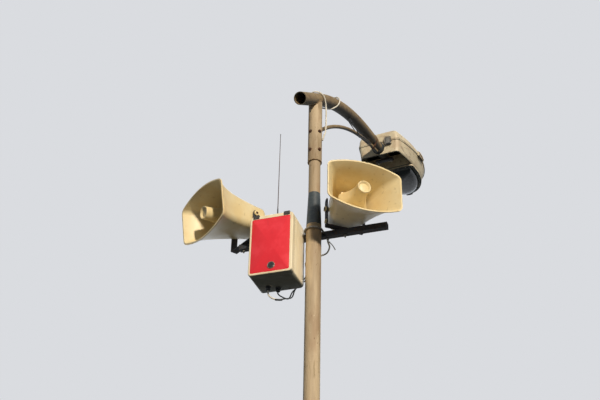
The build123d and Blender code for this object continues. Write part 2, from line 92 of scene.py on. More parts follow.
def speckle(tree, place, seed, grain, low, high, amount, stretch):
    """A mask of noise whose blotches are about grain millimetres across, longer where stretch is small."""
    spread = add(tree, "ShaderNodeMapping", {
        "Vector": place, "Location": (seed, seed * 1.7, seed * 0.6), "Scale": stretch or (1, 1, 1)})
    noise = add(tree, "ShaderNodeTexNoise", {
        "Vector": spread.outputs["Vector"], "Scale": 1000 / grain, "Detail": 4.0, "Roughness": 0.6})
    return fade(tree, noise.outputs["Fac"], low, high, amount)


def finish(name, base, rough, layers=(), bumps=(), metallic=0.0):
    """A painted or moulded surface: coloured layers over a base colour, each laid by its own mask of noise.

    A layer is its colour, the size of its blotches in mm, the noise values where it begins and is full, its
    strength, its roughness, the side it keeps to ("up", "down" or "edges") and the stretch of its blotches. A bump is
    the size of its dents in mm, their depth in mm and their stretch.
    """
    mat = bpy.data.materials.new(name)
    mat.use_nodes = True
    tree = mat.node_tree
    tree.nodes.clear()
    coords = add(tree, "ShaderNodeTexCoord").outputs
    colour, shine = tuple(base), rough
    for index, layer in enumerate(layers):
        code, grain, low, high, amount, layer_rough, side, stretch = (*layer, None, None)[:8]
        fac = speckle(tree, coords["Object"], 3.1 * index + 1.0, grain, low, high, amount, stretch)
        if side in ("up", "down"):
            dot = add(tree, "ShaderNodeVectorMath", {0: coords["Normal"], 1: (0, 0, 1 if side == "up" else -1)},
                      operation="DOT_PRODUCT")
            fac = maths(tree, "MULTIPLY", fac, fade(tree, dot.outputs["Value"], 0.1, 0.8))
        if side == "edges":
            point = add(tree, "ShaderNodeNewGeometry").outputs["Pointiness"]
            edge = add(tree, "ShaderNodeMapRange", {"Value": point, "From Min": 0.51, "From Max": 0.58})
            fac = maths(tree, "MULTIPLY", fac, edge.outputs[0])
        colour = add(tree, "ShaderNodeMix", {"Factor": fac, 6: colour, 7: linear(code)},
                     data_type="RGBA").outputs[2]
        shine = add(tree, "ShaderNodeMix", {"Factor": fac, 2: shine, 3: layer_rough}, data_type="FLOAT").outputs[0]
    shader = add(tree, "ShaderNodeBsdfPrincipled", {"Metallic": metallic, "Base Color": colour, "Roughness": shine})
    height = None
    for index, bump in enumerate(bumps):
        grain, depth, stretch = (*bump, None)[:3]
        dents = speckle(tree, coords["Object"], 11.0 + index, grain, 0.2, 0.8, 1.0, stretch)
        dents = maths(tree, "MULTIPLY", dents, depth * MM)
        height = dents if height is None else maths(tree, "ADD", height, dents)
    if height is not None:
        relief = add(tree, "ShaderNodeBump", {"Height": height, "Distance": 1.0, "Strength": 1.0})
        tree.links.new(relief.outputs["Normal"], shader.inputs["Normal"])
    add(tree, "ShaderNodeOutputMaterial", {"Surface": shader.outputs["BSDF"]})
    return mat


# Values that the panel shows

class HornPoleSizes(bpy.types.PropertyGroup):
    """Sizes of the small dressing pieces, in millimetres"""
    bead: FloatProperty(name="Weld bead", description="Half width of a weld bead, mm", default=2.6, min=0.5)
    thread_pitch: FloatProperty(name="Thread pitch", description="Pitch of the bolts, mm", default=1.5, min=0.5)
    tie_width: FloatProperty(name="Tie width", description="Width of a cable tie, mm", default=4.8, min=1.0)
    tie_thickness: FloatProperty(name="Tie thickness", description="Of a cable tie, mm", default=1.3, min=0.5)
    screw_head: FloatProperty(name="Screw head", description="Radius of a pan head, mm", default=4.4, min=1.0)
    wire: FloatProperty(name="Latch wire", description="Half thickness of a wire bail, mm", default=1.7, min=0.5)


def paint(name, description, code):
    """A colour property whose default is a hex colour."""
    return FloatVectorProperty(name=name, description=description, subtype="COLOR", size=4, min=0.0, max=1.0,
                               default=linear(code))


class HornPoleColours(bpy.types.PropertyGroup):
    """Base colours of the finishes, under their wear"""
    pole: paint("Pole enamel", "Old tan enamel on the pole and the sleeve", "#A99475")
    arm: paint("Arm enamel", "The browner enamel on the arm and its brace", "#84704F")
    # Painted shadow: the joint's near-black colour stands for the right horn's shadow falling on the pole
    wrap: paint("Joint wrap", "Bitumen tape round the pole's joint", "#30393D")
    steel: paint("Black steel", "Paint on the cross bar and the horn brackets", "#1F2830")
    box: paint("Box coat", "Powder coat of the receiver box", "#F0E2C0")
    film: paint("Red film", "Plain film on the box door", "#E32733")
    horn: paint("Horn moulding", "Sun-aged horn plastic", "#EDDBAC")
    lamp: paint("Luminaire enamel", "Cream enamel on the luminaire's castings", "#D8CBAC")


def colours():
    return bpy.context.scene.horn_pole_colours


def sizes():
    return bpy.context.scene.horn_pole_sizes


# Each finish is named for the real surface and for any shade or light painted on it, and its comment says what it
# gives the eye. Its base is a colour of the panel or a hex colour, and then come its roughness, its layers, its bumps
# and how metallic it is.
FINISHES = {
    # Old tan enamel on steel tube: bleached vertical runs, olive grime, brown rust blooms, fine pitting
    "chalked_tan_enamel": ("pole", 0.62, (
        ("#C9B492", 70, 0.42, 0.6, 0.85, 0.7, None, (1, 1, 0.1)),
        ("#8A7553", 34, 0.52, 0.64, 0.65, 0.75, None, (1, 1, 0.14)),
        ("#9A7A5C", 120, 0.5, 0.62, 0.45, 0.8, None, (1, 1, 0.3)),
        ("#6E5136", 14, 0.64, 0.7, 0.8, 0.9, None, (1, 1, 0.45)),
        ("#D9C8A8", 9, 0.66, 0.72, 0.6, 0.6, None, (1, 1, 0.5)),
    ), ((6, 0.25, (1, 1, 0.5)), (60, 0.8, (1, 1, 0.2)))),
    # The arm's paint: the same enamel, browner and rougher where dust and lichen lie on its top, and dark slate on its
    # downward faces as painted shade
    "lichened_tan_enamel": ("arm", 0.66, (
        ("#A08A66", 60, 0.45, 0.62, 0.7, 0.72, None, (1, 0.3, 1)),
        ("#6C5640", 26, 0.5, 0.62, 0.7, 0.8, None, (1, 0.5, 1)),
        ("#7A7A5A", 18, 0.52, 0.6, 0.6, 0.9, "up"),
        ("#5E4431", 10, 0.64, 0.7, 0.8, 0.9),
        # Painted shade: dark slate over the faces that look down
        ("#3A4142", 80, 0.15, 0.45, 0.85, 0.85, "down"),
    ), ((5, 0.3), (45, 0.7, (1, 0.4, 1)))),
    # The pole's tapered reducer: its near-black slate is the right horn's cast shadow painted on as colour; slightly
    # glossy, wrinkled across
    "bitumen_joint_wrap": ("wrap", 0.5, (
        ("#454F50", 40, 0.48, 0.62, 0.6, 0.55, None, (1, 1, 2.2)),
        ("#5B4A42", 60, 0.56, 0.66, 0.55, 0.7, None, (1, 1, 0.6)),
        ("#20282C", 18, 0.55, 0.64, 0.7, 0.45, None, (1, 1, 2.5)),
    ), ((12, 0.5, (1, 1, 2.5)), (3, 0.15))),
    # Black stoving paint on bar and strap steel: dusty, rusting at edges and cut ends
    "black_painted_steel": ("steel", 0.55, (
        ("#343E46", 30, 0.46, 0.64, 0.6, 0.7),
        ("#4A3A30", 16, 0.62, 0.7, 0.5, 0.85),
        ("#5C4536", 8, 0.45, 0.62, 0.6, 0.9, "edges"),
    ), ((4, 0.12),)),
    # Zinc-plated fasteners gone dull: grey metal with white bloom and rust at the threads
    "dull_zinc_plate": ("#7D7A72", 0.45, (
        ("#A8A396", 5, 0.48, 0.62, 0.6, 0.6),
        ("#6A4A33", 7, 0.56, 0.66, 0.75, 0.85),
    ), ((1.5, 0.06),), 0.75),
    # Cream powder coat on sheet steel: fine orange peel, rain-borne dirt runs, yellowed patches, and painted shade in
    # dark grey-green on its downward faces
    "cream_powder_coat": ("box", 0.42, (
        ("#DDCBA2", 90, 0.48, 0.66, 0.55, 0.5, None, (1, 1, 0.5)),
        ("#B7A47C", 22, 0.6, 0.7, 0.45, 0.6, None, (1.6, 1, 0.1)),
        ("#AD9B77", 7, 0.68, 0.76, 0.4, 0.7),
        # Painted shade: dark grey-green over the faces that look down
        ("#47504C", 120, 0.15, 0.45, 0.9, 0.75, "down"),
    ), ((2.5, 0.05), (70, 0.3))),
    # Self-adhesive red vinyl: saturated, smooth, faded a little in large soft patches
    "red_vinyl_film": ("film", 0.34, (
        ("#EE3C48", 120, 0.45, 0.65, 0.7, 0.36),
        ("#C41E2B", 30, 0.58, 0.72, 0.2, 0.45, None, (1, 1, 0.3)),
        ("#D98A80", 3, 0.7, 0.75, 0.4, 0.6),
    ), ((25, 0.06), (2, 0.02))),
    # Black lacquered steel of the hinges: satin, scuffed brown-grey at the edges
    "black_lacquer": ("#1B1F21", 0.42, (
        ("#34393A", 9, 0.5, 0.64, 0.6, 0.6),
        ("#5B5148", 4, 0.45, 0.6, 0.8, 0.6, "edges"),
    ), ((2, 0.05),)),
    # Black moulded nylon: matt, greyed by sun
    "moulded_nylon": ("#232729", 0.6, (
        ("#3C4142", 14, 0.45, 0.65, 0.55, 0.75),
    ), ((1.5, 0.04),)),
    # Whip aerial: thin dark-sheathed steel with a warm grey bloom
    "whip_spring_steel": ("#54494A", 0.45, (
        ("#77695F", 40, 0.48, 0.62, 0.6, 0.5, None, (1, 1, 0.2)),
    ), (), 0.3),
    # Cream ABS horn moulding aged by sun: warm yellowing, dust inside, faint mould-flow streaks, and a painted
    # highlight of paler cream on its upward faces
    "sun_aged_abs": ("horn", 0.4, (
        ("#E2C688", 150, 0.42, 0.64, 0.6, 0.48),
        # Painted light: paler cream over the faces that look up
        ("#F0E3BF", 60, 0.54, 0.68, 0.6, 0.42, "up", (1, 1, 0.6)),
        ("#A98F5C", 26, 0.6, 0.7, 0.35, 0.6),
        ("#B59C6C", 5, 0.68, 0.76, 0.3, 0.6),
    ), ((3, 0.04), (90, 0.35))),
    # Cream enamel on die-cast aluminium: sooty streaks below the joints, pink-brown grime on the flanks, and painted
    # shade in dark slate on its downward faces
    "dirty_cream_casting": ("lamp", 0.5, (
        ("#BFA686", 70, 0.44, 0.62, 0.65, 0.6, None, (1, 0.4, 1)),
        ("#8E7B62", 26, 0.55, 0.67, 0.55, 0.72, None, (1, 0.4, 1)),
        ("#5F5446", 8, 0.64, 0.71, 0.65, 0.8),
        # Painted shade: dark slate over the faces that look down
        ("#303A3A", 60, 0.15, 0.45, 0.95, 0.8, "down"),
    ), ((4, 0.1), (50, 0.4))),
    # The bowl: moulded glass with a film of dust; its near-black teal is painted shade for its shadowed underside, and
    # it shows little of what is behind it
    # Painted shade: the near-black teal base and its dark layer stand for the bowl's shadow
    "dusty_bowl_glass": ("#18242A", 0.22, (
        ("#22323A", 90, 0.45, 0.65, 0.4, 0.4),
        ("#4A4E48", 10, 0.62, 0.7, 0.12, 0.5),
    ), ((60, 0.3),)),
    # Set screws that rust out of their paint: dark brown, pitted, with orange bloom
    "rusted_set_screw": ("#4A3A2E", 0.8, (
        ("#7A4A2C", 6, 0.45, 0.6, 0.8, 0.9),
        ("#A9653A", 3, 0.6, 0.7, 0.6, 0.95),
    ), ((2, 0.15),), 0.2),
    # Black rubber gasket, chalky grey where the sun reaches it
    "weathered_rubber": ("#23282A", 0.7, (
        ("#4A4A45", 14, 0.46, 0.64, 0.6, 0.85),
        ("#6B655A", 4, 0.62, 0.7, 0.45, 0.9, "up"),
    ), ((2, 0.05),)),
    # Black cable sheath with dust in its twist
    "black_cable_sheath": ("#262B2D", 0.52, (
        ("#45494A", 12, 0.48, 0.64, 0.6, 0.7),
    ), ((3, 0.05),)),
    # White cable sheath, yellowed and dirty in patches
    "white_cable_sheath": ("#E2DDCF", 0.42, (
        ("#C9BFA3", 40, 0.46, 0.64, 0.6, 0.5),
        ("#8F8570", 9, 0.62, 0.7, 0.5, 0.6),
    ), ((4, 0.04),)),
    # Natural nylon of a cable tie: milky, slightly yellow
    "white_nylon_tie": ("#D9D3C0", 0.38, (
        ("#B8AE92", 8, 0.48, 0.62, 0.5, 0.5),
    ), ((2, 0.03),)),
    # Painted weld bead: the tan enamel with rust in its ripples
    "weld_bead_paint": ("#8E7554", 0.7, (
        ("#5E4430", 7, 0.48, 0.62, 0.8, 0.9),
        ("#B9A27D", 5, 0.6, 0.7, 0.6, 0.7),
    ), ((2, 0.1),)),
}


def material(name):
    """The named finish, made once."""
    if name not in bpy.data.materials:
        base, *rest = FINISHES[name]
        return finish(name, linear(base) if base[0] == "#" else getattr(colours(), base), *rest)
    return bpy.data.materials[name]


def stage_paper():
    """Plain pale studio paper for the floor, lifted a little to the eye so that it stays pale in low light."""
    mat = finish("stage_paper", linear("#787877"), 0.9)
    tree = mat.node_tree
    shader = next(node for node in tree.nodes if node.type == "BSDF_PRINCIPLED")
    seen = add(tree, "ShaderNodeLightPath").outputs["Is Camera Ray"]
    shader.inputs["Emission Color"].default_value = linear("#D9DADB")
    tree.links.new(maths(tree, "MULTIPLY", seen, 0.62), shader.inputs["Emission Strength"])
    return mat


NODE_FINISH = {
    "chalked_tan_enamel": ["base_flange", "base_gussets", "lower_pole", "upper_pole"],
    "bitumen_joint_wrap": ["pole_reducer"],
    "lichened_tan_enamel": ["outreach_arm"],
    "black_painted_steel": ["cross_bar", "right_horn_bracket", "left_horn_bracket"],
    "dull_zinc_plate": ["pole_u_bolt", "u_bolt_nuts", "box_bolts", "right_bracket_bolt", "left_bracket_bolt"],
    "black_lacquer": ["hinge_leaves_fixed", "hinge_leaves_moving"],
    "moulded_nylon": ["antenna_base"],
    "whip_spring_steel": ["antenna_whip"],
    "sun_aged_abs": ["right_horn_bell", "left_horn_bell", "right_horn_driver", "left_horn_driver",
                     "right_horn_pivots", "left_horn_pivots"],
}


# Surfaces from grids of points, in millimetres

def turns(steps):
    """Angles of one turn in equal steps."""
    return np.linspace(0, TURN, steps, endpoint=False)


def xyz(x, y, z):
    """Points from their coordinates, each a number or an array."""
    return np.stack(np.broadcast_arrays(x, y, z), axis=-1)


def skin(grid, wrap_rows=False, wrap_cols=True):
    """Vertices and quads of a grid of points: a wrapped direction joins its last line to its first."""
    grid = np.asarray(grid, float)
    rows, cols = grid.shape[:2]
    index = np.arange(rows * cols).reshape(rows, cols)
    here, there = (index, np.roll(index, -1, 0)) if wrap_rows else (index[:-1], index[1:])
    if wrap_cols:
        quads = (here, np.roll(here, -1, 1), np.roll(there, -1, 1), there)
    else:
        quads = (here[:, :-1], here[:, 1:], there[:, 1:], there[:, :-1])
    return grid.reshape(-1, 3), np.stack(quads, axis=-1).reshape(-1, 4)


def unit(vectors):
    vectors = np.asarray(vectors, float)
    return vectors / np.linalg.norm(vectors, axis=-1, keepdims=True)


def put(shape, origin, axes=np.eye(3)):
    """A shape moved so that its own axes lie along the rows of axes."""
    points, quads = shape
    return np.asarray(origin, float) + points @ axes, quads


def along(shape, origin, direction):
    """A shape whose z axis is laid along a direction."""
    w = unit(direction)
    u = unit(np.cross((0.0, 0.0, 1.0) if abs(w[2]) < 0.9 else (1.0, 0.0, 0.0), w))
    return put(shape, origin, np.array((u, np.cross(w, u), w)))


def lathe(profile, sides=32, lobes=0, depth=0.0):
    """Surface of revolution round z: radius and height follow the profile, and the radius swells by depth times
    the cosine of lobes times the angle."""
    r, h = np.array(profile, float).T[:, :, None]
    t = turns(sides)
    swell = r * (1 + depth * np.cos(lobes * t))
    return skin(xyz(swell * np.cos(t), swell * np.sin(t), h))


def hex_head(flats, height):
    """Hexagon prism with a chamfered top: the radius at an angle is half the flats over the cosine of the angle
    from the nearest flat, and no more than the chamfer's circle at the top."""
    t = turns(48)
    side = flats / 2 / np.cos((t + pi / 6) % (pi / 3) - pi / 6)
    r = np.array([side, side, np.minimum(side, flats * 0.515), 0 * t])
    return skin(xyz(r * np.cos(t), r * np.sin(t), height * np.array([[0.0], [0.86], [1.0], [1.0]])))


def pan_head(radius, height):
    """Pan-head screw: a low dome with a cross recess, pressed in where the angle is near a multiple of 90 degrees."""
    t = turns(48)
    share = np.array([1.0, 1.0, 0.9, 0.62, 0.5, 0.3, 0.12, 0.0])[:, None]
    rise = np.array([0.0, 0.55, 0.85, 1.0, 1.0, 1.0, 1.0, 1.0])[:, None]
    slot = np.clip(1 - np.abs(np.sin(2 * t)) * 3.2 * share, 0, 1) * (share < 0.55)
    return skin(xyz(radius * share * np.cos(t), radius * share * np.sin(t), height * (rise - 0.6 * slot)))


def thread(radius, reach, pitch):
    """Screw thread: a helical ridge whose height is a triangle wave of height over pitch less the share of turn."""
    h = np.linspace(0, reach, int(reach / pitch * 6) + 1)[:, None]
    t = turns(24)
    wave = 1 - np.abs(((h / pitch - t / TURN) % 1) * 2 - 1)
    r = radius + 0.12 * pitch + 0.28 * pitch * wave
    return skin(xyz(r * np.cos(t), r * np.sin(t), h))


def swept(path, half_w, half_t, up, closed=False, square=1.0, ripple=0.0, waves=0, sides=12):
    """A section carried along a path: its half width lies across the path and up, its half thickness along up. The
    section is a circle for square 1 and nears a rectangle as square falls; ripple swells it in waves. Open ends are
    closed by drawing the section in to the path."""
    path = np.asarray(path, float)
    grow = 1 + ripple * np.abs(np.sin(pi * waves * np.linspace(0, 1, len(path), endpoint=not closed)))
    ahead = np.roll(path, -1, 0) - np.roll(path, 1, 0) if closed else np.gradient(path, axis=0)
    if not closed:
        path, ahead = (np.concatenate([grid[:1], grid, grid[-1:]]) for grid in (path, ahead))
        grow = np.concatenate([[0.0], grow, [0.0]])
    ahead = unit(ahead)
    across = unit(np.cross(ahead, np.broadcast_to(np.asarray(up, float), path.shape)))
    lift = np.cross(across, ahead)
    t = turns(sides)
    c, s = (np.sign(f) * np.abs(f) ** square for f in (np.cos(t), np.sin(t)))
    offset = half_w * c[None, :, None] * across[:, None] + half_t * s[None, :, None] * lift[:, None]
    return skin(path[:, None] + grow[:, None, None] * offset, wrap_rows=closed)


def bar(middle, reach, half_w, half_t, up, square, steps=3):
    """A straight bar that reaches equally far to both sides of its middle."""
    run = np.linspace(-1, 1, steps)[:, None] * np.asarray(reach, float)
    return swept(np.asarray(middle, float) + run, half_w, half_t, up, square=square)


def wire(points, radius, rounds=8):
    """A bent wire: its path is a Catmull-Rom curve through the points, cut into rounds steps a run."""
    p = np.asarray(points, float)
    p = np.concatenate([2 * p[:1] - p[1:2], p, 2 * p[-1:] - p[-2:-1]])
    a, b, c, d = (p[k:len(p) - 3 + k, None] for k in range(4))
    t = np.linspace(0, 1, rounds, endpoint=False)[None, :, None]
    curve = 0.5 * (2 * b + (c - a) * t + (2 * a - 5 * b + 4 * c - d) * t ** 2 + (3 * b - a - 3 * c + d) * t ** 3)
    path = np.concatenate([curve.reshape(-1, 3), p[-2:-1]])
    return swept(path, radius, radius, np.eye(3)[np.argmin(np.ptp(path, axis=0))] + (0.01, 0.013, 0.007))


def rounded_loop(width, height, radius, steps=8):
    """Points round a rectangle with round corners: four quarter circles, each ahead of the last by 90 degrees."""
    t = (np.arange(4)[:, None] + np.linspace(0, 1, steps)) * pi / 2
    cx = (width / 2 - radius) * np.array([1, -1, -1, 1])[:, None]
    cz = (height / 2 - radius) * np.array([1, 1, -1, -1])[:, None]
    return (cx + radius * np.cos(t)).ravel(), (cz + radius * np.sin(t)).ravel()


def plate(*parts):
    """Closed shell through upright outlines. Each part is a width, a height and the middle's x and z, and then rows of
    how much smaller than that its outline is, its corner radius and its y."""
    grid = []
    for (width, height, x, z), rows in parts:
        for less, corner, y in rows:
            u, v = rounded_loop(width - less, height - less, corner)
            grid.append(xyz(x + u, y, z + v))
    ends = [np.broadcast_to(loop.mean(axis=0), loop.shape) for loop in (grid[0], grid[-1])]
    return skin(ends[:1] + grid + ends[1:])


def placed(name, data):
    """A new object, linked to the scene."""
    made = bpy.data.objects.new(name, data)
    bpy.context.scene.collection.objects.link(made)
    return made


def piece(name, shapes, body, finish_name, angle=38, stands_for=(), axes=None):
    """One object from several shapes, riding on a body and standing for the frame's pieces that it replaces. Axes
    are an origin and rows in which the shapes are given."""
    if axes is not None:
        shapes = [put(shape, *axes) for shape in shapes]
    counts = np.cumsum([0] + [len(points) for points, _ in shapes])
    points = np.concatenate([points for points, _ in shapes]) * MM
    quads = np.concatenate([quads + base for (_, quads), base in zip(shapes, counts)])
    mesh = bpy.data.meshes.new(name)
    mesh.from_pydata(points.tolist(), [], quads.tolist())
    grid = bmesh.new()
    grid.from_mesh(mesh)
    bmesh.ops.remove_doubles(grid, verts=grid.verts, dist=1e-6)
    bmesh.ops.recalc_face_normals(grid, faces=grid.faces)
    grid.to_mesh(mesh)
    grid.free()
    mesh.shade_smooth()
    mesh.set_sharp_from_angle(angle=radians(angle))
    mesh.materials.append(material(finish_name))
    made = placed(name, mesh)
    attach(made, body)
    if stands_for:
        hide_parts(*stands_for)


# Places, in millimetres, in the shared frame

def centre_mm(node):
    low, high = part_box(node)
    return (np.array(low) + np.array(high)) / 2 / MM


def turned(aim, tilt):
    """Rows of a horn's own axes: x across it, y towards its rear, z up, after its tilt and aim in degrees."""
    a, t = radians(aim), radians(tilt)
    ca, sa, ct, st = cos(a), sin(a), cos(t), sin(t)
    return np.array(((ca, sa, 0), (-sa * ct, ca * ct, st), (sa * st, -ca * st, ct)))


BAR_Y = 53.35                   # middle line of the cross bar
BAR_TOP = 4202.0
HORN_X = (146.0, -390.0)        # right and left horn, along the bar
HORNS = {"right": (np.array((HORN_X[0], BAR_Y, 4300.3)), turned(38, 0)),
         "left": (np.array((HORN_X[1], BAR_Y, 4344.3)), turned(-36, 9))}
BRACKETS = {"right": (np.array((HORN_X[0], BAR_Y, BAR_TOP)), turned(38, 0)),
            "left": (np.array((HORN_X[1], BAR_Y, BAR_TOP)), turned(-36, 0))}
LUG_X, LUG_Z = 52, 42           # posts and lugs of a reflector, from the horn's axis
BOX_WIDTH, BOX_HEIGHT = 222.0, 331.0
GLANDS = ((-220.55, -21.65), (-178.55, 4.35))
GLAND_REACH = 22.3              # from the box's underside to the end of a gland
LAMP = (np.array((102.4, 974.7, 5403.8)), np.array((
    (0.103749, 0.987109, 0.121869), (-0.994522, 0.104528, 0.0), (-0.012739, -0.121202, 0.992546))))
LAMP_LENGTH = 645.0
WIDEST = 300.0                  # where the luminaire is widest, from its rear
BEZEL_Z = -104.4                # underside of its bezel
UP = np.array((0.0, 0.0, 1.0))
ARM_AIM = radians(6)
ARM_OUT = np.array((sin(ARM_AIM), cos(ARM_AIM), 0.0))
ARM_SIDE = np.array((cos(ARM_AIM), -sin(ARM_AIM), 0.0))
ARM_RADIUS, ARM_STRAIGHT, ARM_BEND = 35.0, 300.0, 1590.0
ARM_REAR, ARM_REAR_Z, ARM_RISE = -196.0, 4884.0, radians(35)
BRACE_RADIUS, BRACE_BEND, BRACE_ROOT, BRACE_ROOT_Z = 10.65, 1658.7, 36.8, 4828
BRACE_RISE, BRACE_TURN = 46, 36.01


def arm_point(reach, height, side=0.0):
    """A point of the arm's upright plane, moved sideways."""
    return reach * ARM_OUT + height * UP + side * ARM_SIDE


def brace_at(share):
    """Place, direction and lift on the brace: an arc that starts at its root's rise and flattens by its turn."""
    start, rise = radians(BRACE_RISE), radians(BRACE_RISE - BRACE_TURN * share)
    place = arm_point(BRACE_ROOT + BRACE_BEND * (sin(start) - sin(rise)),
                      BRACE_ROOT_Z + BRACE_BEND * (cos(rise) - cos(start)))
    return place, cos(rise) * ARM_OUT + sin(rise) * UP, -sin(rise) * ARM_OUT + cos(rise) * UP


def arm_side(reached, turn, off):
    """A point beside the arm: distance along it, turn round it from its right side in degrees, off its skin. The arm
    first runs straight at its rise and then bends down on its radius."""
    bent = max(0.0, reached - ARM_STRAIGHT) / ARM_BEND
    straight = min(reached, ARM_STRAIGHT)
    slope = ARM_RISE - bent
    reach = ARM_REAR + straight * cos(ARM_RISE) + ARM_BEND * (sin(ARM_RISE) - sin(slope))
    height = ARM_REAR_Z + straight * sin(ARM_RISE) + ARM_BEND * (cos(slope) - cos(ARM_RISE))
    out, side = ((ARM_RADIUS + off) * f(radians(turn)) for f in (sin, cos))
    return arm_point(reach - out * sin(slope), height + out * cos(slope), side)


def saddle(t, radius, least=12):
    """A circle round the pole's axis, raised to the arm's underside: the arm's axis less its half chord there."""
    spot = radius * xyz(np.cos(t), np.sin(t), 0)
    side, out = spot @ ARM_SIDE, spot @ ARM_OUT
    chord = np.sqrt(np.maximum((ARM_RADIUS + 0.3) ** 2 - side ** 2, 0))
    height = ARM_REAR_Z + (out - ARM_REAR) * tan(ARM_RISE) - np.maximum(chord, least) / cos(ARM_RISE)
    return spot + height[:, None] * UP


class FrameFinishes(bpy.types.Operator):
    """Gives each piece of the frame its own finish"""
    bl_idname = "horn_pole.frame_finishes"
    bl_label = "Frame finishes"

    def execute(self, context):
        for finish_name, nodes in NODE_FINISH.items():
            for name in nodes:
                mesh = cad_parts[name].data
                mesh.materials.clear()
                mesh.materials.append(material(finish_name))
        return {"FINISHED"}


class PoleTop(bpy.types.Operator):
    """Coped arm sleeve, its four set screws with lock nuts and the arm's brace"""
    bl_idname = "horn_pole.pole_top"
    bl_label = "Pole top"

    def execute(self, context):
        bore, outside, foot = 32.4, 36.5, 4602.0
        t = turns(160)
        rows = [xyz(r * np.cos(t), r * np.sin(t), z)
                for r, z in ((bore, foot), (outside - 0.6, foot), (outside, foot + 0.8))]
        piece("arm_sleeve_coped", [skin(rows + [saddle(t, outside), saddle(t, bore)], wrap_rows=True)], "pole",
              "chalked_tan_enamel", 50, ["arm_sleeve"])
        screws = []
        for height in (4668.0, 4785.0):
            for angle in (-112.0, -34.0):
                way = np.array((cos(radians(angle)), sin(radians(angle)), 0.0))
                at = (outside - 0.3) * way + (0, 0, height)
                end = lathe([(4.9, 0), (4.9, 1), (3.6, 1.8), (2.4, 1.2), (0, 1.2)])
                screws += [along(hex_head(17, 5), at, way), along(thread(4.6, 5.0, 1.4), at + 4.6 * way, way),
                           along(end, at + 9.4 * way, way)]
        piece("arm_set_screws", screws, "pole", "rusted_set_screw",
              stands_for=["sleeve_set_screws"])
        path = [brace_at(share)[0] for share in np.linspace(0, 1, 72)]
        piece("curved_brace", [swept(path, BRACE_RADIUS, BRACE_RADIUS, ARM_SIDE, sides=24)], "pole",
              "lichened_tan_enamel", stands_for=["arm_brace"])
        return {"FINISHED"}


class HeldCables(bpy.types.Operator):
    """Cables that the pole holds from end to end: over the arm, along the brace, below the box and under the bar"""
    bl_idname = "horn_pole.held_cables"
    bl_label = "Held cables"

    def execute(self, context):
        thick, middling, thin = 4.0, 3.25, 2.5
        bar_foot = 4171
        box = centre_mm("receiver_box")[2] - BOX_HEIGHT / 2
        low = box - GLAND_REACH
        (x1, y1), (x2, y2) = GLANDS
        gap_x, behind = -48.8, 74.85
        joint = (x1 + 50, y1 + 14, low - 50)
        white = [
            wire([(x1, y1, low), (x1, y1, low - 10), (x1 + 6, y1 + 1, low - 28), (x1 + 24, y1 + 5, low - 43),
                  joint], thick),
            wire([(51.05, 57.35, bar_foot - 0.2), (58, 60.3, 4140), (63, 60.3, 4126), (60, 60.3, 4106),
                  (47, 60.3, 4086), (26, 57.3, 4077), (0, 46.05, 4068), (-25.3, 38.7, 4064)], thick)]
        climb = [(31.1, 31.1, 4762), (36, 42, 4800), (42, 51, 4837), (44, 50.5, 4915), (44, 50, 4991)]
        coil = ((268, 0), (252, 45), (240, 90), (250, 135), (285, 180), (350, 225), (442, 270), (485, 315),
                (520, 360), (545, 405), (565, 450), (580, 495), (590, 540))
        white.append(wire(climb + [arm_side(s, turn, 7.0) for s, turn in coil], thick, 12))
        piece("white_cables", white, "pole", "white_cable_sheath", 60)
        dark = [
            wire([joint, (x1 + 76, y1 + 34, low - 38), (x1 + 92, behind - 12, low - 8),
                  (x1 + 104, behind, box + 16), (x1 + 132, behind - 4, box + 44), (gap_x + 2, BAR_Y, box + 84),
                  (gap_x - 4, BAR_Y - 16, box + 128), (gap_x + 5, BAR_Y - 4, box + 168),
                  (gap_x + 3, BAR_Y + 4, box + 220), (gap_x + 2, BAR_Y, bar_foot)], middling),
            wire([(x2, y2, low), (x2, y2, low - 10), (x2 + 12, y2 + 12, low - 20), (x2 + 30, behind - 4, low - 8),
                  (x2 + 46, behind + 8, box + 10), (x2 + 74, behind + 9, box + 36),
                  (gap_x - 3, BAR_Y + 17, box + 70), (gap_x + 4, BAR_Y + 2, box + 118),
                  (gap_x - 4, BAR_Y + 8, box + 150), (gap_x - 4, BAR_Y - 9, box + 206),
                  (gap_x + 1, BAR_Y - 9, bar_foot)], middling)]
        for s, turn, side in ((725, 268, 0.60), (752, 284, 0.95)):
            points = [arm_side(s, turn, 2.0), arm_side(s + 40, turn, 15)]
            for share in (0.66, 0.74, 0.81, 0.87):
                place, _, lift = brace_at(share)
                points.append(place + (-lift * sqrt(1 - side ** 2) + ARM_SIDE * side) * 14.4)
            dark.append(wire(points, thin))
        piece("dark_cables", dark, "pole", "black_cable_sheath", 60)
        return {"FINISHED"}


